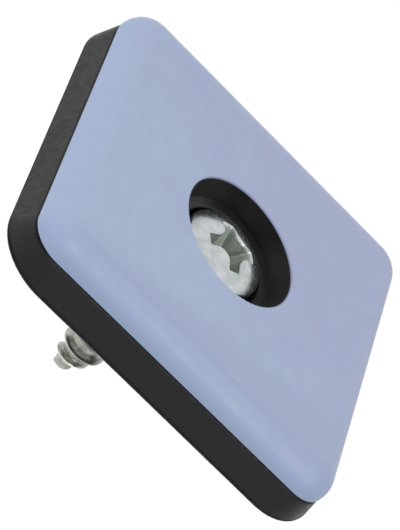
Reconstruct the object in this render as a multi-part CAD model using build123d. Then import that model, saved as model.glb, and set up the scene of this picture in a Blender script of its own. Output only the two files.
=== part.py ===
from build123d import *
import os

# Square screw-on furniture glide. A PTFE plate slides on the floor, a rubber cushion carries it,
# and a pan-head screw in a stepped recess holds both under a chair or table leg.
#
# The origin is the centre of the sliding face, on which the glide stands. +Z runs up the screw's
# axis, from the sliding face towards the screw's point. All sizes are in millimetres.

# ---- outline of the glide ----
OVERALL_SIDE = 30.0             # across the cushion's rear edge, its widest place
OVERALL_THICKNESS = 5.0         # from the sliding face to the face that meets the leg
FACE_SIDE = 28.5                # across the plate, and the cushion where it meets the plate
FACE_CORNER_RADIUS = 2.5
REAR_CORNER_RADIUS = 4.3

# ---- sliding plate ----
PLATE_THICKNESS = 2.2
SHOULDER_RADIUS = 2.05          # the soft shoulder that rides over the edges of tiles and rugs
PLATE_HOLE_DIAMETER = 10.3
LIP_THICKNESS = 0.2             # the thin edge of the plate that laps over the cushion's collar
LIP_ROUND = 0.12
KEY_TOP_DIAMETER = 11.0         # undercut behind the lip, which keys the plate to the cushion
KEY_ROOT_DIAMETER = 12.2

# ---- cushion ----
JOINT_RELIEF = 0.3              # bevel beside the plate, which draws the dark line of the joint
REAR_RIM_RADIUS = 0.5
REAR_RIM_HEIGHT = 0.6
COLLAR_STEP = 0.05              # how far the collar stands in from the edge of the plate's hole
LEDGE_DIAMETER = 9.4            # foot of the recess's tapered wall
LEDGE_DEPTH = 1.9
LEDGE_BEVEL = 0.15
HEAD_GAP = 0.35                 # round the screw's head
SHANK_GAP = 0.15                # round the screw's thread

# ---- screw, 3.5 x 16 pan head with a cross recess of size 2 ----
HEAD_DEPTH = 0.6                # from the sliding face to the crown of the head
HEAD_DIAMETER = 7.0
HEAD_HEIGHT = 2.5
CROWN_HEIGHT = 1.1              # from the crown down to the edge of the dome
CROWN_EDGE_ROUND = 0.3
NECK_DIAMETER = 2.9             # the plain stretch under the head, where the thread runs out
NECK_LENGTH = 1.9
THREAD_DIAMETER = 3.5
SCREW_LENGTH = 16.0             # from under the head to the point
POINT_LENGTH = 3.2
POINT_DIAMETER = 0.3
CROSS_WIDTH = 4.4               # tip to tip of two opposite wings
CROSS_ROOT_WIDTH = 1.9          # the same at the foot of the recess
CROSS_DEPTH = 1.9
CROSS_WING = 1.05               # thickness of a wing
CROSS_CORE_DIAMETER = 2.3       # the cone between the wings, at the crown
CROSS_CORE_ROOT_DIAMETER = 1.2
CROSS_TURN = -26.0              # degrees, how the screw happens to stand

# ---- places that follow from those sizes ----
SEAT_Z = HEAD_DEPTH + HEAD_HEIGHT
TIP_Z = SEAT_Z + SCREW_LENGTH
RIM_Z = OVERALL_THICKNESS - REAR_RIM_HEIGHT
COLLAR_RADIUS = PLATE_HOLE_DIAMETER / 2 - COLLAR_STEP
COUNTERBORE_RADIUS = HEAD_DIAMETER / 2 + HEAD_GAP
SCREW_HOLE_RADIUS = THREAD_DIAMETER / 2 + SHANK_GAP
BEYOND = 1.0                    # how far a cut runs past the face that it opens
NEAR = 0.001                    # edges this close to a height count as lying at it


def rounded_square(side, corner_radius, z):
    """A square face with rounded corners, lying at height z."""
    return Pos(0, 0, z) * RectangleRounded(side, side, corner_radius)


def turned(profile):
    """The solid that a half profile, given as (radius, z) points, sweeps round the screw's axis."""
    outline = Polyline([(radius, 0, z) for radius, z in profile], close=True)
    return revolve(make_face(outline), Axis.Z)


def flat_edges(solid, z):
    """The edges of a solid that lie flat at height z."""
    level = solid.edges().filter_by_position(Axis.Z, z - NEAR, z + NEAR)
    return level.filter_by(lambda edge: edge.bounding_box().size.Z < NEAR)


def key_profile():
    """The undercut behind the plate's lip: the plate is cut to it, and the collar fills it."""
    return [
        (0, LIP_THICKNESS),
        (KEY_TOP_DIAMETER / 2, LIP_THICKNESS),
        (KEY_ROOT_DIAMETER / 2, PLATE_THICKNESS),
        (0, PLATE_THICKNESS),
    ]


def sliding_plate():
    """PTFE plate with a soft shoulder, and a hole whose thin lip laps over the collar."""
    plate = extrude(rounded_square(FACE_SIDE, FACE_CORNER_RADIUS, 0), PLATE_THICKNESS)
    plate = fillet(flat_edges(plate, 0), SHOULDER_RADIUS)
    plate -= Cylinder(PLATE_HOLE_DIAMETER / 2, 2 * PLATE_THICKNESS)
    plate -= turned(key_profile())
    lip = flat_edges(plate, 0).filter_by(GeomType.CIRCLE)
    return fillet(lip.sort_by(SortBy.RADIUS)[-1], LIP_ROUND)


def cushion_blank():
    """The cushion's outside: a bevel beside the plate, walls that flare, a rounded rear rim."""
    joint_side = FACE_SIDE - 2 * JOINT_RELIEF
    joint = rounded_square(joint_side, FACE_CORNER_RADIUS - JOINT_RELIEF, PLATE_THICKNESS)
    front = rounded_square(FACE_SIDE, FACE_CORNER_RADIUS, PLATE_THICKNESS + JOINT_RELIEF)
    rear = rounded_square(OVERALL_SIDE, REAR_CORNER_RADIUS, RIM_Z)
    rim = extrude(rear, REAR_RIM_HEIGHT)
    rim = fillet(flat_edges(rim, OVERALL_THICKNESS), REAR_RIM_RADIUS)
    return loft([joint, front, rear], ruled=True) + rim


def recess_profile():
    """The recess: a tapered wall down to a ledge, a counterbore for the head, the screw's hole."""
    return [
        (0, -BEYOND),
        (COLLAR_RADIUS, -BEYOND),
        (COLLAR_RADIUS, LIP_THICKNESS),
        (LEDGE_DIAMETER / 2, LEDGE_DEPTH),
        (COUNTERBORE_RADIUS + LEDGE_BEVEL, LEDGE_DEPTH),
        (COUNTERBORE_RADIUS, LEDGE_DEPTH + LEDGE_BEVEL),
        (COUNTERBORE_RADIUS, SEAT_Z),
        (SCREW_HOLE_RADIUS, SEAT_Z),
        (SCREW_HOLE_RADIUS, OVERALL_THICKNESS + BEYOND),
        (0, OVERALL_THICKNESS + BEYOND),
    ]


def cushion_base():
    """Rubber cushion with the collar that rises into the plate, and the screw's stepped recess."""
    return cushion_blank() + turned(key_profile()) - turned(recess_profile())


def cross_recess():
    """The cross that the driver enters: two pairs of tapered wings and the cone between them."""
    foot = HEAD_DEPTH + CROSS_DEPTH
    wing_outline = make_face(Polyline([
        (-CROSS_WIDTH / 2, 0, HEAD_DEPTH - BEYOND),
        (CROSS_WIDTH / 2, 0, HEAD_DEPTH - BEYOND),
        (CROSS_WIDTH / 2, 0, HEAD_DEPTH),
        (CROSS_ROOT_WIDTH / 2, 0, foot),
        (-CROSS_ROOT_WIDTH / 2, 0, foot),
        (-CROSS_WIDTH / 2, 0, HEAD_DEPTH),
    ], close=True))
    wing = extrude(wing_outline, CROSS_WING / 2, both=True)
    core = turned([
        (0, HEAD_DEPTH - BEYOND),
        (CROSS_CORE_DIAMETER / 2, HEAD_DEPTH - BEYOND),
        (CROSS_CORE_DIAMETER / 2, HEAD_DEPTH),
        (CROSS_CORE_ROOT_DIAMETER / 2, foot),
        (0, foot),
    ])
    return Rot(0, 0, CROSS_TURN) * (wing + Rot(0, 0, 90) * wing + core)


def pan_head():
    """The screw's head: a low dome over a short straight side."""
    dome_edge = HEAD_DEPTH + CROWN_HEIGHT
    dome = ThreePointArc(*dome_points(dome_edge))
    sides = Polyline([
        (HEAD_DIAMETER / 2, 0, dome_edge),
        (HEAD_DIAMETER / 2, 0, SEAT_Z),
        (0, 0, SEAT_Z),
        (0, 0, HEAD_DEPTH),
    ])
    head = revolve(make_face([dome, sides]), Axis.Z)
    head = fillet(flat_edges(head, dome_edge), CROWN_EDGE_ROUND)
    return head - cross_recess()


def dome_points(dome_edge):
    """Three points of the dome's arc, whose centre lies on the screw's axis."""
    half = HEAD_DIAMETER / 2
    radius = (half ** 2 + CROWN_HEIGHT ** 2) / (2 * CROWN_HEIGHT)
    middle_drop = radius - (radius ** 2 - (half / 2) ** 2) ** 0.5
    return (0, 0, HEAD_DEPTH), (half / 2, 0, HEAD_DEPTH + middle_drop), (half, 0, dome_edge)


def shank():
    """The neck, the shank to the crests of its thread, and the tapered point."""
    return turned([
        (0, SEAT_Z),
        (NECK_DIAMETER / 2, SEAT_Z),
        (NECK_DIAMETER / 2, SEAT_Z + NECK_LENGTH),
        (THREAD_DIAMETER / 2, SEAT_Z + NECK_LENGTH),
        (THREAD_DIAMETER / 2, TIP_Z - POINT_LENGTH),
        (POINT_DIAMETER / 2, TIP_Z),
        (0, TIP_Z),
    ])


def screw():
    """The whole screw, head towards the floor and point up."""
    return pan_head() + shank()


PIECES = {
    "sliding_plate": sliding_plate,
    "cushion_base": cushion_base,
    "pan_head_screw": screw,
}

os.makedirs("parts", exist_ok=True)
for name, make in PIECES.items():
    export_step(make(), f"parts/{name}.step")
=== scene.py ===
import math

import bmesh
import bpy
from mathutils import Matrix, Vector


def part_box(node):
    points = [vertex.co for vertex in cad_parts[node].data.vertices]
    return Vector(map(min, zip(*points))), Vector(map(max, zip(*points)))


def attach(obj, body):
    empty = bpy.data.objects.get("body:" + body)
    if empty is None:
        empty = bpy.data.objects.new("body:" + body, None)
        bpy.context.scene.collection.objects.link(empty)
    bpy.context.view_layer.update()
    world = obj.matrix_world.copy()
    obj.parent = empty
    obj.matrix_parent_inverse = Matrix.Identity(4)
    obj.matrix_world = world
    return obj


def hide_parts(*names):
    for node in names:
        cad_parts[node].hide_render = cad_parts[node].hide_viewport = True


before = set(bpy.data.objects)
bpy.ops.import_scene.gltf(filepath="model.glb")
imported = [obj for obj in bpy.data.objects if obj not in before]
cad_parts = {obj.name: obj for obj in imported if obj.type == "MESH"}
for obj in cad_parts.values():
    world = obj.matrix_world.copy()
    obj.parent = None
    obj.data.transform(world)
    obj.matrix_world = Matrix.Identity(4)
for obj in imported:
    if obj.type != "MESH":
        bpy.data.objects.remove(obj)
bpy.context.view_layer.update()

# The looks of a square screw-on furniture glide. The plate and the cushion are the CAD's own
# shapes, and get their materials here. The screw is one mesh with a thread, which is made here.
#
# The origin is the centre of the sliding face, and +Z runs up the screw's axis to its point.
# Lengths are in millimetres, and become metres where they are handed to Blender.

MM = 0.001
UP = (0, 0, 1)


def in_mm(metres):
    """A length of the frame in mm, to the nearest thousandth."""
    return round(metres / MM, 3)


# ---- the camera of the photograph ----
CAMERA_PLACE = (-84.28, 210.14, -137.84)
CAMERA_TURN = (-138.724, 45.078, -17.095)       # degrees about X, Y and Z, in that order
CAMERA_LENS = 257.43
SENSOR_SIDE = 36                                # the long side of the frame that the lens fills
CAMERA_NEAR = 10
CAMERA_FAR = 10000

# ---- the floor, and the soft light all round ----
FLOOR_REACH = 1500              # from its middle to each of its sides
FLOOR_DROP = 0.02               # how far it lies under the sliding face
PAPER = (0.90, 0.90, 0.90)
SOFT_LEVEL = 0.70               # how bright the soft light is on average, where 1 is white
SOFT_SIDE = (-0.34, -0.25, -0.12)       # which side it is stronger on, and by how much

# ---- the screw, in the sizes of its solid ----
SCREW_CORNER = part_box("pan_head_screw")[1]      # the highest corner of its box
HEAD_RADIUS = in_mm(SCREW_CORNER.x)
TIP_Z = in_mm(SCREW_CORNER.z)
SCREW_LENGTH = 16.0             # from under the head to the point
SEAT_Z = TIP_Z - SCREW_LENGTH
HEAD_HEIGHT = 2.5
HEAD_DEPTH = SEAT_Z - HEAD_HEIGHT       # from the sliding face to the crown
HEAD_EDGE_ROUND = 0.3
CROWN_HEIGHT = 1.1              # from the crown to where dome and side would meet
CROSS_DEPTH = 1.9
CROSS_TURN = -26.0              # degrees
NECK_RADIUS = 1.45
NECK_LENGTH = 1.9
THREAD_START = SEAT_Z + NECK_LENGTH
THREAD_RADIUS = 1.75

# ---- the head's own detail ----
CROSS_REACH = (2.04, 0.92)      # from the axis to the end of a wing, at the crown and at the foot
CROSS_HALF = (0.50, 0.42)       # half the thickness of a wing, at the same two places
CROSS_CORE = (1.12, 0.74)       # radius of the cone between the wings, at the same two places
CROSS_CORNER = 0.13             # rounding of the wings' ends
CROSS_BLEND = 0.50              # rounding where wings and cone meet
CROSS_OUTSIDE = 3.2             # a radius that lies outside the cross in every direction
HALVINGS = 26                   # how often the search for the cross's outline halves its range
LIP_WIDTH = 0.11                # of the rounded edge where the cross opens in the dome
LIP_STEPS = ((0.07, 0.010), (0.035, 0.034), (0.008, 0.075))     # (outside the cross, into the dome)
WALL_SHARES = (0.12, 0.22, 0.34, 0.48, 0.62, 0.76, 0.88, 0.96, 1.0)     # of the recess's depth
FOOT_STEPS = ((0.92, 0.03), (0.7, 0.05), (0.4, 0.07))   # (share of its outline, depth of its dish)
FOOT_DISH = 0.09                # depth of the dish in the middle of the foot
UNDER_ROUND = 0.12              # rounding of the edge under the head
UNDER_RADII = (2.4, 3.1)        # rings on the flat under the head
UNDER_STEPS = 4
EDGE_STEPS = 8
DOME_STEPS = 12
HEAD_COLUMNS = 360

# ---- the thread's own detail ----
NECK_ROWS = (                   # (radius, height over the seat): the fillet under the head
    (1.75, 0.0),
    (1.57, 0.07),
    (1.48, 0.18),
    (NECK_RADIUS, 0.3),
    (NECK_RADIUS, 1.2),
)
PITCH = 1.3
ROOT_RADIUS = 1.22
CREST_Z = 15.95                 # a crest stands at this height ...
CREST_TURN = 112.0              # ... in this direction, in degrees about the axis
TURN_ROWS = (-0.55, -0.44, -0.37, -0.31, -0.22, -0.13, -0.07, 0.0,
             0.07, 0.13, 0.22, 0.31, 0.37, 0.44, 0.55, 0.65)    # how high over a crest each lies
FLANK_FOOT = 0.37               # from the middle of a crest to the foot of its flank
FLANK_WIDTH = 0.30
FLANK_EASE = 0.06               # rounding of crest and root, as a share of the flank's height
RUN_OUT = 0.9                   # how far the thread takes to rise out of the neck
ROOT_LEAD = 1.6                 # how much sooner than the crests the groove is at its depth
POINT_LENGTH = 3.15
POINT_POWER = 0.6               # 1 would be a straight cone, and less is a fuller point
TIP_BARE = 0.1                  # the end of the point has no thread, ...
TIP_FADE = 0.6                  # ... and over this length next to it the thread dies out
CAP = 0.05                      # the last bit of the point closes in a flat cone
MERGE = 0.01                    # thread rows this near to the thread's ends become part of them
SHANK_COLUMNS = 72
CRISP_ANGLE = 50                # edges sharper than this, in degrees, aren't smoothed over


# ---- the screw's mesh ----

def add_to_scene(name, data):
    """A new object in the scene for a mesh, a lamp or a camera."""
    holder = bpy.data.objects.new(name, data)
    bpy.context.scene.collection.objects.link(holder)
    return holder


def add_piece(name, points, faces):
    """A smooth-shaded object from points in mm, with its sharp edges kept crisp."""
    mesh = bpy.data.meshes.new(name)
    mesh.from_pydata([Vector(point) * MM for point in points], [], faces)
    form = bmesh.new()
    form.from_mesh(mesh)
    bmesh.ops.recalc_face_normals(form, faces=form.faces)
    form.to_mesh(mesh)
    form.free()
    mesh.polygons.foreach_set("use_smooth", [True] * len(mesh.polygons))
    mesh.set_sharp_from_angle(angle=math.radians(CRISP_ANGLE))
    return add_to_scene(name, mesh)


def share_along(value, start, length):
    """How far a value has come along a stretch, from 0 at its start to 1 at its end."""
    return min(max((value - start) / length, 0.0), 1.0)


def eased(share):
    """The same share, but changing gently near 0 and 1."""
    return share * share * (3 - 2 * share)


def soft_min(a, b, width):
    """The lesser of two lengths, with a rounded change from one to the other."""
    share = max(width - abs(a - b), 0.0) / width
    return min(a, b) - share * share * width / 4


def cross_gap(x, y, reach, half, core):
    """Signed distance from a point to the outline of the cross, negative inside it."""
    gaps = []
    for along, across in ((x, y), (y, x)):
        beyond = abs(along) - reach + CROSS_CORNER
        beside = abs(across) - half + CROSS_CORNER
        outside = math.hypot(max(beyond, 0), max(beside, 0))
        gaps.append(outside + min(max(beyond, beside), 0) - CROSS_CORNER)
    wings = soft_min(*gaps, CROSS_BLEND)
    return soft_min(wings, math.hypot(x, y) - core, CROSS_BLEND)


def cross_outline(depth_share, grow=0.0):
    """How far the cross reaches from the axis in each column, at a share of its depth. It may be
    asked for with a border round it, which is how far its outline grows."""
    reach, half, core = (top + (foot - top) * depth_share
                         for top, foot in (CROSS_REACH, CROSS_HALF, CROSS_CORE))
    quarter = []
    for column in range(HEAD_COLUMNS // 4):
        angle = math.tau * column / HEAD_COLUMNS
        near, far = 0.0, CROSS_OUTSIDE
        for _ in range(HALVINGS):
            middle = (near + far) / 2
            x, y = middle * math.cos(angle), middle * math.sin(angle)
            if cross_gap(x, y, reach, half, core) < grow:
                near = middle
            else:
                far = middle
        quarter.append(near)
    return quarter * 4


def dome_sphere():
    """Radius of the sphere that the head's dome is part of."""
    return (HEAD_RADIUS ** 2 + CROWN_HEIGHT ** 2) / (2 * CROWN_HEIGHT)


def dome_z(radius):
    """Height of the dome's surface at a distance from the axis."""
    return HEAD_DEPTH + dome_sphere() - math.sqrt(dome_sphere() ** 2 - radius ** 2)


def head_edge():
    """Points (radius, z) from the flat under the head, up its side and over its rounded edge."""
    points = [(radius, SEAT_Z) for radius in UNDER_RADII]
    for step in range(UNDER_STEPS + 1):
        angle = math.pi / 2 * (1 - step / UNDER_STEPS)
        points.append((HEAD_RADIUS - UNDER_ROUND * (1 - math.cos(angle)),
                       SEAT_Z - UNDER_ROUND * (1 - math.sin(angle))))
    middle = HEAD_RADIUS - HEAD_EDGE_ROUND
    drop = math.sqrt((dome_sphere() - HEAD_EDGE_ROUND) ** 2 - middle ** 2)
    level = HEAD_DEPTH + dome_sphere() - drop
    for step in range(EDGE_STEPS + 1):
        angle = math.atan2(drop, middle) * step / EDGE_STEPS
        points.append((middle + HEAD_EDGE_ROUND * math.cos(angle),
                       level - HEAD_EDGE_ROUND * math.sin(angle)))
    return points


def head_rings():
    """The head as rings of (radii, heights), from under it round to the foot of its recess."""
    edge = head_edge()
    rings = [([radius] * HEAD_COLUMNS, [z] * HEAD_COLUMNS) for radius, z in edge]
    start = edge[-1][0]
    lip = cross_outline(0.0, LIP_WIDTH)
    for step in range(1, DOME_STEPS + 1):
        radii = [start + (inner - start) * step / DOME_STEPS for inner in lip]
        rings.append((radii, [dome_z(radius) for radius in radii]))
    for grow, drop in LIP_STEPS:
        radii = cross_outline(0.0, grow)
        rings.append((radii, [dome_z(radius) + drop for radius in radii]))
    foot_z = HEAD_DEPTH + CROSS_DEPTH
    tops = rings[-1][1]
    for share in WALL_SHARES:
        rings.append((cross_outline(share), [top + (foot_z - top) * share for top in tops]))
    foot = rings[-1][0]
    for shrink, dish in FOOT_STEPS:
        rings.append(([radius * shrink for radius in foot], [foot_z + dish] * HEAD_COLUMNS))
    return rings


def add_head(points, faces, turn):
    """Adds the head's points and faces, and gives the ring of points that the neck starts from."""
    rings = []
    for radii, heights in head_rings():
        rings.append(range(len(points), len(points) + HEAD_COLUMNS))
        for column in range(HEAD_COLUMNS):
            angle = math.tau * column / HEAD_COLUMNS + turn
            points.append((radii[column] * math.cos(angle), radii[column] * math.sin(angle),
                           heights[column]))
    for outer, inner in zip(rings, rings[1:]):
        for column in range(HEAD_COLUMNS):
            after = (column + 1) % HEAD_COLUMNS
            faces.append((outer[column], outer[after], inner[after], inner[column]))
    middle = len(points)
    points.append((0, 0, HEAD_DEPTH + CROSS_DEPTH + FOOT_DISH))
    for column in range(HEAD_COLUMNS):
        faces.append((rings[-1][column], rings[-1][(column + 1) % HEAD_COLUMNS], middle))
    return rings[0]


def thread_radius(z, from_crest):
    """Distance of the thread's surface from the axis, at a height and an offset from the crest."""
    to_tip = max(TIP_Z - z, 0.0)
    taper = min(1.0, to_tip / POINT_LENGTH) ** POINT_POWER
    crest = THREAD_RADIUS * taper
    root = ROOT_RADIUS * taper
    crest = root + (crest - root) * share_along(to_tip, TIP_BARE, TIP_FADE)
    risen = eased(share_along(z, THREAD_START, RUN_OUT))
    crest = NECK_RADIUS + (crest - NECK_RADIUS) * risen
    root = NECK_RADIUS + (root - NECK_RADIUS) * min(1.0, risen * ROOT_LEAD)
    flank = share_along(FLANK_FOOT - abs(from_crest), 0.0, FLANK_WIDTH)
    flank -= FLANK_EASE * math.sin(math.tau * flank)
    return root + (crest - root) * flank


def thread_z(angle, crest, offset):
    """Height of a point of the thread: in a direction, on a turn, and at an offset from its crest."""
    ahead = (math.degrees(angle) - CREST_TURN) / 360 * PITCH
    return CREST_Z + ahead + crest * PITCH + offset


def add_point(points, angle, radius, z):
    """Adds a point of the shank, and gives its number."""
    points.append((radius * math.cos(angle), radius * math.sin(angle), z))
    return len(points) - 1


def add_ring(points, angles, radius, z):
    """Adds a level ring of points of the shank, and gives their numbers."""
    return [add_point(points, angle, radius, z) for angle in angles]


def add_thread_rows(points, angles):
    """Adds rows of points that climb with the thread. A row ends where that of the next turn starts."""
    low = add_ring(points, angles, NECK_RADIUS, THREAD_START)
    end = TIP_Z - CAP
    high = add_ring(points, angles, thread_radius(end, TURN_ROWS[-1]), end)
    first = math.floor((THREAD_START - CREST_Z) / PITCH) - 1
    last = math.ceil((TIP_Z - CREST_Z) / PITCH) + 1
    rows = []
    for crest in range(first, last + 1):
        for offset in TURN_ROWS:
            row = []
            for column, angle in enumerate(angles):
                z = thread_z(angle, crest, offset)
                if z <= THREAD_START + MERGE:
                    row.append(low[column])
                elif z >= end - MERGE:
                    row.append(high[column])
                else:
                    row.append(add_point(points, angle, thread_radius(z, offset), z))
            rows.append(row)
    return [row + next_turn[:1] for row, next_turn in zip(rows, rows[len(TURN_ROWS):])]


def add_shank_rows(points, turn):
    """Adds rows of points round the neck and the thread. The last of a row is where it closes."""
    angles = [math.tau * column / SHANK_COLUMNS + turn for column in range(SHANK_COLUMNS)]
    rows = []
    for radius, rise in NECK_ROWS:
        row = add_ring(points, angles, radius, SEAT_Z + rise)
        rows.append(row + row[:1])
    return rows + add_thread_rows(points, angles)


def join_neck(faces, ring, row):
    """Adds the faces between a ring of the head and a row of the shank, which has fewer columns."""
    step = HEAD_COLUMNS // SHANK_COLUMNS
    for column in range(SHANK_COLUMNS):
        for part in range(column * step, (column + 1) * step):
            faces.append((row[column], ring[part], ring[(part + 1) % HEAD_COLUMNS]))
        faces.append((row[column], ring[(column + 1) * step % HEAD_COLUMNS], row[column + 1]))


def add_shank(points, faces, turn, ring):
    """Adds the neck, the thread and the point, from a ring under the head."""
    rows = add_shank_rows(points, turn)
    join_neck(faces, ring, rows[0])
    for row, above in zip(rows, rows[1:]):
        for column in range(SHANK_COLUMNS):
            corners = (row[column], row[column + 1], above[column + 1], above[column])
            corners = tuple(dict.fromkeys(corners))
            if len(corners) > 2:
                faces.append(corners)
    tip = len(points)
    points.append((0, 0, TIP_Z))
    for column in range(SHANK_COLUMNS):
        faces.append((rows[-1][column], rows[-1][column + 1], tip))


def dressed_screw():
    """The whole screw in one skin: head, cross recess, neck and thread."""
    points = []
    faces = []
    turn = math.radians(CROSS_TURN)
    ring = add_head(points, faces, turn)
    add_shank(points, faces, turn, ring)
    return add_piece("screw_dressed", points, faces)


# ---- node trees ----

MIX_FIRST = 6                   # where a Mix node has its first colour, among its inputs, ...
MIX_SECOND = 7                  # ... its second colour, ...
MIX_RESULT = 2                  # ... and the mixed colour, among its outputs
SPECK_CORE = 0.6                # share of a speck's radius inside which it doesn't fade


class NodeTree:
    """The nodes of a material or of the world, with short ways to add and join them."""

    def __init__(self, owner):
        owner.use_nodes = True
        self.tree = owner.node_tree
        self.tree.nodes.clear()

    def node(self, kind, operation=None):
        """A new node of a kind, with its operation set where it has one."""
        node = self.tree.nodes.new(kind)
        if operation:
            node.operation = operation
        return node

    def feed(self, target, source):
        """Joins an output to an input, or writes a plain value into the input."""
        if isinstance(source, bpy.types.NodeSocket):
            self.tree.links.new(source, target)
        else:
            target.default_value = source

    def combine(self, operation, *sources):
        """Several values taken together, two at a time."""
        result = sources[0]
        for source in sources[1:]:
            both = self.node("ShaderNodeMath", operation)
            self.feed(both.inputs[0], result)
            self.feed(both.inputs[1], source)
            result = both.outputs[0]
        return result

    def dot(self, place, direction):
        """How far a place lies along a direction."""
        product = self.node("ShaderNodeVectorMath", "DOT_PRODUCT")
        self.feed(product.inputs[0], place)
        self.feed(product.inputs[1], direction)
        return product.outputs["Value"]

    def mix_shaders(self, share, first, second):
        """Two shaders mixed: a share of 0 is all the first, and 1 all the second."""
        mix = self.node("ShaderNodeMixShader")
        for target, source in zip(mix.inputs, (share, first, second)):
            self.feed(target, source)
        return mix.outputs[0]


class Material(NodeTree):
    """A material that takes its patterns from the piece's own coordinates, in mm."""

    def __init__(self, name, ground):
        self.data = bpy.data.materials.new(name)
        super().__init__(self.data)
        self.output = self.node("ShaderNodeOutputMaterial")
        self.shader = self.node("ShaderNodeBsdfPrincipled")
        self.feed(self.output.inputs["Surface"], self.shader.outputs[0])
        self.place = self.node("ShaderNodeTexCoord").outputs["Object"]
        self.tone = (*ground, 1)
        self.set("Base Color", self.tone)

    def set(self, name, source):
        """Gives one of the shader's inputs a plain value or a pattern."""
        self.feed(self.shader.inputs[name], source)

    def coordinates(self, stretch=(1, 1, 1), turn=(0, 0, 0)):
        """A point's place on the piece in mm, stretched along X, Y and Z and turned in degrees."""
        mapping = self.node("ShaderNodeMapping")
        mapping.inputs["Scale"].default_value = [factor / MM for factor in stretch]
        mapping.inputs["Rotation"].default_value = [math.radians(angle) for angle in turn]
        self.feed(mapping.inputs["Vector"], self.place)
        return mapping.outputs[0]

    def noise(self, scale, detail=3, stretch=(1, 1, 1), turn=(0, 0, 0)):
        """Smooth noise with `scale` features per mm."""
        texture = self.node("ShaderNodeTexNoise")
        self.feed(texture.inputs["Scale"], scale)
        self.feed(texture.inputs["Detail"], detail)
        self.feed(texture.inputs["Vector"], self.coordinates(stretch, turn))
        return texture.outputs["Fac"]

    def specks(self, scale, size):
        """1 in small round specks and 0 around them, with `scale` cells per mm."""
        cells = self.node("ShaderNodeTexVoronoi")
        self.feed(cells.inputs["Scale"], scale)
        self.feed(cells.inputs["Vector"], self.coordinates())
        return self.falls(cells.outputs["Distance"], (size * SPECK_CORE, size))

    def along(self, direction):
        """How far a point lies along a direction, in mm."""
        return self.dot(self.coordinates(), direction)

    def radius(self):
        """Distance from the screw's axis, in mm."""
        length = self.node("ShaderNodeVectorMath", "LENGTH")
        self.feed(length.inputs[0], self.coordinates(stretch=(1, 1, 0)))
        return length.outputs["Value"]

    def remap(self, source, span, values):
        """The source mapped from a span to a pair of values, smoothly and clamped."""
        change = self.node("ShaderNodeMapRange")
        change.interpolation_type = "SMOOTHSTEP"
        self.feed(change.inputs["Value"], source)
        for name, value in zip(("From Min", "From Max", "To Min", "To Max"), (*span, *values)):
            self.feed(change.inputs[name], value)
        return change.outputs[0]

    def rises(self, source, span, most=1):
        """0 where the source is below a span, and up to `most` where it is above."""
        return self.remap(source, span, (0, most))

    def falls(self, source, span):
        """1 where the source is below a span, and down to 0 where it is above."""
        return self.remap(source, span, (1, 0))

    def within(self, source, rise_span, fall_span):
        """1 between two spans, and 0 below the first and above the second."""
        return self.combine("MULTIPLY", self.rises(source, rise_span), self.falls(source, fall_span))

    def paint(self, share, colour):
        """Lays a colour over those before it, as far as the share goes from 0 to 1."""
        mix = self.node("ShaderNodeMix")
        mix.data_type = "RGBA"
        self.feed(mix.inputs[0], share)
        self.feed(mix.inputs[MIX_FIRST], self.tone)
        self.feed(mix.inputs[MIX_SECOND], (*colour, 1))
        self.tone = mix.outputs[MIX_RESULT]
        self.set("Base Color", self.tone)

    def bumps(self, *layers):
        """Raises the surface by each (pattern, height in mm), one over another."""
        normal = None
        for pattern, height in layers:
            bump = self.node("ShaderNodeBump")
            bump.inputs["Strength"].default_value = 1.0
            bump.inputs["Distance"].default_value = height * MM
            self.feed(bump.inputs["Height"], pattern)
            if normal is not None:
                self.feed(bump.inputs["Normal"], normal)
            normal = bump.outputs[0]
        self.set("Normal", normal)


# ---- materials ----
#
# A colour is linear red, green and blue. A span is a stretch over which a zone fades in or out.
# It lies along Z where its name ends in Z, it is a distance from the screw's axis where its name
# ends in R, and else it lies along the side that is named before it.

MOST_NOISE = (0.3, 0.7)         # noise hardly goes past these values

PTFE_BLUE = (0.358, 0.446, 0.622)
PTFE_LILAC = (0.352, 0.393, 0.582)      # the clouds lie between these two
PTFE_MOTTLE = (0.346, 0.408, 0.600)
PTFE_BORDER_SHADE = (0.334, 0.400, 0.578)     # painted shade on the border of the flat face on one side
PTFE_SHOULDER = (0.350, 0.442, 0.650)
PTFE_SCUFF = (0.384, 0.440, 0.616)
LILAC_SIDE = (0.022, -0.022, 0)         # where the clouds turn lilac, and by how much per mm
BORDER_SHADE_SIDE = (0.2, 1, 0)
BORDER_SHADE_SPAN = (8.5, 11.5)
FACE_Z = (0.02, 0.30)                   # where the flat face ends
SHOULDER_Z = (0.20, 1.20)
SCUFF_STRETCH = (0.22, 3.2, 1.0)
SCUFF_TURN = (0, 0, 38)                 # degrees
SCUFF_DEPTH = 0.002
PTFE_GRAIN = 0.004


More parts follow.
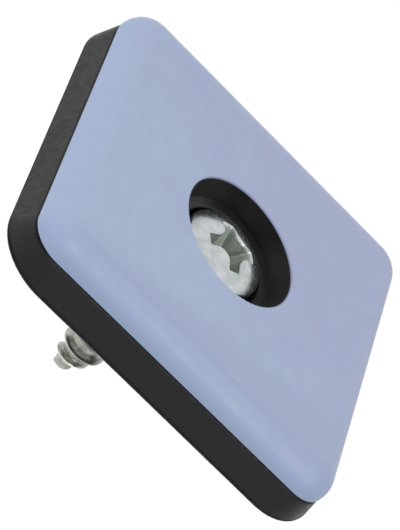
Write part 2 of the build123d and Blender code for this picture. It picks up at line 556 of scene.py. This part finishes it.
def ptfe_material():
    """Waxy pressed PTFE: soft clouds of tone, a fine grain, and light scuffs from the floor."""
    ptfe = Material("ptfe_waxy", PTFE_BLUE)
    height = ptfe.along(UP)
    drift = ptfe.combine("ADD", ptfe.along(LILAC_SIDE), ptfe.noise(scale=0.16))
    ptfe.paint(ptfe.rises(drift, span=(0.25, 0.75)), PTFE_LILAC)
    mottle = ptfe.noise(scale=0.9, detail=4)
    ptfe.paint(ptfe.rises(mottle, span=(0.35, 0.7), most=0.5), PTFE_MOTTLE)
    # painted shade along the border of the flat face on the +Y side
    border_shade = ptfe.rises(ptfe.along(BORDER_SHADE_SIDE), BORDER_SHADE_SPAN)
    ptfe.paint(ptfe.combine("MULTIPLY", border_shade, ptfe.falls(height, FACE_Z)), PTFE_BORDER_SHADE)
    ptfe.paint(ptfe.rises(height, SHOULDER_Z), PTFE_SHOULDER)
    streaks = ptfe.noise(scale=1.0, detail=5, stretch=SCUFF_STRETCH, turn=SCUFF_TURN)
    scuffs = ptfe.rises(streaks, span=(0.60, 0.74))
    ptfe.paint(scuffs, PTFE_SCUFF)
    patches = ptfe.noise(scale=0.6, detail=4)
    ptfe.set("Roughness", ptfe.remap(patches, MOST_NOISE, values=(0.40, 0.50)))
    ptfe.bumps((ptfe.noise(scale=9), PTFE_GRAIN), (scuffs, -SCUFF_DEPTH))
    return ptfe.data


RUBBER_DARK = (0.0140, 0.0139, 0.0149)
RUBBER_CLOUD = (0.0196, 0.0189, 0.0184)
RUBBER_SPECK = (0.060, 0.059, 0.055)
RUBBER_LEDGE_LIGHT = (0.052, 0.051, 0.052)     # painted light on one side of the recess's ledge
RUBBER_WALL_LIGHT = (0.0240, 0.0238, 0.0225)  # painted light on the wall of the recess
RUBBER_SHADE = (0.003, 0.003, 0.003)    # on the side of that wall that hardly gets light
RUBBER_RIM_SHADE = (0.006, 0.006, 0.006)      # painted shade where the wall turns over to the back
RUBBER_JOINT_SHADE = (0.003, 0.004, 0.006)    # painted shade in the bevel next to the plate, with a blue cast of painted light from the plate
RUBBER_OUTER_SHADE = (0.0095, 0.0090, 0.0112)   # painted shade on the outer wall on the +Y side, the one that looks darkest
LEDGE_R = (4.55, 4.75)
LEDGE_START_Z = (1.80, 1.88)
LEDGE_END_Z = (2.06, 2.12)
LEDGE_LIGHT_SIDE = (1, 0, 0)
LEDGE_LIGHT_SPAN = (-3.4, -1.4)
WALL_R = (5.2, 5.4)
WALL_Z = (1.84, 1.90)
SHADE_SIDE = (0.19, -0.98, 0)
SHADE_SPAN = (3.4, 4.8)
RIM_START_Z = (4.36, 4.50)
RIM_END_Z = (4.74, 4.86)
OUTER_R = (9.0, 10.0)
JOINT_Z = (2.40, 2.62)
OUTER_SHADE_SIDE = (0, 1, 0)
OUTER_SHADE_SPAN = (13.6, 14.4)
RUBBER_GRAIN = 0.018
SPECK_HEIGHT = 0.01


def rubber_material():
    """Moulded rubber: near black, finely grained, half glossy. Light is painted on the recess's wall
    and on one side of its ledge, and shade on the wall's dark side, the rim, the joint and one outer
    wall.
    """
    rubber = Material("rubber_black", RUBBER_DARK)
    height = rubber.along(UP)
    radius = rubber.radius()
    cloud = rubber.noise(scale=0.8, detail=4)
    rubber.paint(rubber.rises(cloud, span=(0.35, 0.68)), RUBBER_CLOUD)
    specks = rubber.specks(scale=1.2, size=0.085)
    rubber.paint(specks, RUBBER_SPECK)
    # painted light: one side of the recess's ledge is lighter
    ledge = rubber.combine("MULTIPLY",
                           rubber.falls(radius, LEDGE_R),
                           rubber.within(height, LEDGE_START_Z, LEDGE_END_Z),
                           rubber.falls(rubber.along(LEDGE_LIGHT_SIDE), LEDGE_LIGHT_SPAN))
    rubber.paint(ledge, RUBBER_LEDGE_LIGHT)
    wall = rubber.combine("MULTIPLY", rubber.falls(radius, WALL_R), rubber.falls(height, WALL_Z))
    # painted light: the recess's wall is a little lighter than the rubber round it
    rubber.paint(rubber.rises(wall, span=(0, 1), most=0.85), RUBBER_WALL_LIGHT)
    shaded = rubber.rises(rubber.along(SHADE_SIDE), SHADE_SPAN)
    rubber.paint(rubber.combine("MULTIPLY", wall, shaded), RUBBER_SHADE)
    # painted shade on the rim, which is also made rougher
    rim = rubber.within(height, RIM_START_Z, RIM_END_Z)
    rubber.paint(rim, RUBBER_RIM_SHADE)
    # painted shade in the bevel next to the plate
    outside = rubber.rises(radius, OUTER_R)
    rubber.paint(rubber.combine("MULTIPLY", outside, rubber.falls(height, JOINT_Z)), RUBBER_JOINT_SHADE)
    # painted shade on the outer wall on the +Y side
    rubber.paint(rubber.rises(rubber.along(OUTER_SHADE_SIDE), OUTER_SHADE_SPAN, most=0.8), RUBBER_OUTER_SHADE)
    patches = rubber.remap(rubber.noise(scale=2.2), MOST_NOISE, values=(0.36, 0.50))
    dull_rim = rubber.rises(rim, span=(0, 1), most=0.40)
    rubber.set("Roughness", rubber.combine("ADD", patches, dull_rim))
    rubber.set("Specular IOR Level", 0.20)
    rubber.bumps((rubber.noise(scale=5, detail=4), RUBBER_GRAIN), (specks, SPECK_HEIGHT))
    return rubber.data


ZINC_GREY = (0.475, 0.515, 0.520)
ZINC_CLOUD = (0.600, 0.615, 0.628)
ZINC_CROSS_SHADE = (0.370, 0.410, 0.368)     # painted shade in the cross
ZINC_THREAD = (0.500, 0.505, 0.462)
ZINC_ROOT_SHADE = (0.440, 0.440, 0.395)       # painted shade in the groove of the thread
# painted shade on the crests of the thread
ZINC_CREST_SHADE = (0.260, 0.265, 0.245)
ZINC_SOOT = (0.170, 0.168, 0.145)       # in patches all over the thread
RECESS_START_Z = (0.95, 1.25)
RECESS_END_Z = (2.7, 2.8)
RECESS_R = (2.0, 2.4)
THREAD_Z = (5.0, 5.5)
ROOT_R = (1.25, 1.55)
CREST_R = (1.64, 1.72)
DENT_DEPTH = 0.005
ZINC_GRAIN = 0.0006


def zinc_material():
    """Bright zinc plate: cloudy, faintly dented, dull in the recess and sooty on the thread. Shade is
    painted in the cross, in the thread's grooves and on its crests.
    """
    zinc = Material("zinc_bright", ZINC_GREY)
    height = zinc.along(UP)
    radius = zinc.radius()
    zinc.paint(zinc.rises(zinc.noise(scale=1.1, detail=4), span=(0.36, 0.66)), ZINC_CLOUD)
    recess = zinc.combine("MULTIPLY",
                          zinc.within(height, RECESS_START_Z, RECESS_END_Z),
                          zinc.falls(radius, RECESS_R))
    # painted shade: the cross is darker and a little green
    zinc.paint(recess, ZINC_CROSS_SHADE)
    thread = zinc.rises(height, THREAD_Z)
    zinc.paint(zinc.rises(thread, span=(0, 1), most=0.7), ZINC_THREAD)
    # painted shade in the thread's grooves
    roots = zinc.falls(radius, ROOT_R)
    # painted shade on the thread's crests
    crests = zinc.rises(radius, CREST_R, most=0.8)
    soot = zinc.rises(zinc.noise(scale=1.5, detail=4), span=(0.42, 0.62), most=0.50)
    for zone, colour in ((roots, ZINC_ROOT_SHADE), (crests, ZINC_CREST_SHADE), (soot, ZINC_SOOT)):
        zinc.paint(zinc.combine("MULTIPLY", thread, zone), colour)
    zinc.set("Metallic", 1.0)
    patches = zinc.remap(zinc.noise(scale=2.5), MOST_NOISE, values=(0.22, 0.34))
    dull_recess = zinc.rises(recess, span=(0, 1), most=0.40)
    zinc.set("Roughness", zinc.combine("ADD", patches, dull_recess))
    dents = zinc.noise(scale=1.4, detail=2)
    zinc.bumps((dents, DENT_DEPTH), (zinc.noise(scale=7, detail=2), ZINC_GRAIN))
    return zinc.data


def dress(piece, material):
    """Gives a piece a material in place of those that it has."""
    piece.data.materials.clear()
    piece.data.materials.append(material)


# ---- floor, light and camera ----

def paper_material():
    """White paper that the camera sees from above only, and that nothing else sees at all."""
    paper = Material("floor_paper", PAPER)
    paper.set("Roughness", 0.9)
    rays = paper.node("ShaderNodeLightPath").outputs
    side = paper.node("ShaderNodeNewGeometry").outputs
    seen = paper.node("ShaderNodeMath", "SUBTRACT")
    seen.use_clamp = True
    paper.feed(seen.inputs[0], rays["Is Camera Ray"])
    paper.feed(seen.inputs[1], side["Backfacing"])
    clear = paper.node("ShaderNodeBsdfTransparent").outputs[0]
    either = paper.mix_shaders(seen.outputs[0], clear, paper.shader.outputs[0])
    paper.feed(paper.output.inputs["Surface"], either)
    return paper.data


def make_floor():
    """A pale floor under the glide. The photograph's camera looks up through it, from below."""
    mesh = bpy.data.meshes.new("floor")
    form = bmesh.new()
    bmesh.ops.create_grid(form, x_segments=1, y_segments=1, size=FLOOR_REACH * MM)
    bmesh.ops.translate(form, verts=form.verts, vec=(0, 0, -FLOOR_DROP * MM))
    form.to_mesh(mesh)
    form.free()
    mesh.materials.append(paper_material())
    add_to_scene("floor", mesh)


def make_world():
    """White behind the object and in its reflections; the soft light that it gives is set apart."""
    world = bpy.data.worlds.new("studio")
    sky = NodeTree(world)

    def background(strength):
        light = sky.node("ShaderNodeBackground")
        sky.feed(light.inputs["Color"], (1, 1, 1, 1))
        sky.feed(light.inputs["Strength"], strength)
        return light.outputs[0]

    rays = sky.node("ShaderNodeLightPath").outputs
    white_rays = ("Is Camera Ray", "Is Glossy Ray", "Is Transmission Ray")
    shows_white = sky.combine("MAXIMUM", *(rays[name] for name in white_rays))
    direction = sky.node("ShaderNodeTexCoord").outputs["Generated"]
    level = sky.combine("ADD", sky.dot(direction, SOFT_SIDE), SOFT_LEVEL)
    both = sky.mix_shaders(shows_white, background(level), background(1.0))
    sky.feed(sky.node("ShaderNodeOutputWorld").inputs["Surface"], both)
    bpy.context.scene.world = world


def add_lamp(name, towards, distance, size, level):
    """A square lamp aimed at the glide. Its distance and size are in metres, and at a level of 1
    it would light a white face that is turned to it to plain white."""
    data = bpy.data.lights.new(name, "AREA")
    data.shape = "SQUARE"
    data.size = size
    data.energy = level * (math.pi * distance) ** 2
    lamp = add_to_scene(name, data)
    lamp.location = Vector(towards).normalized() * distance
    lamp.rotation_euler = (-Vector(towards)).to_track_quat("-Z", "Y").to_euler()


def make_camera():
    """The camera that sees the glide as the photograph shows it."""
    data = bpy.data.cameras.new("photo_camera")
    data.sensor_width = SENSOR_SIDE
    data.lens = CAMERA_LENS
    data.clip_start = CAMERA_NEAR * MM
    data.clip_end = CAMERA_FAR * MM
    camera = add_to_scene("photo_camera", data)
    camera.location = Vector(CAMERA_PLACE) * MM
    camera.rotation_euler = [math.radians(angle) for angle in CAMERA_TURN]
    bpy.context.scene.camera = camera


screw = dressed_screw()
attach(screw, "screw")
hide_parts("pan_head_screw")

dress(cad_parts["sliding_plate"], ptfe_material())
dress(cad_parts["cushion_base"], rubber_material())
dress(screw, zinc_material())

make_floor()
make_world()
add_lamp("front", towards=(0.25, 0.75, -0.61), distance=0.6, size=0.32, level=0.28)
add_lamp("back", towards=(0.20, -0.35, 0.90), distance=3.0, size=2.0, level=0.38)
make_camera()

bpy.context.scene.view_settings.view_transform = "Standard"
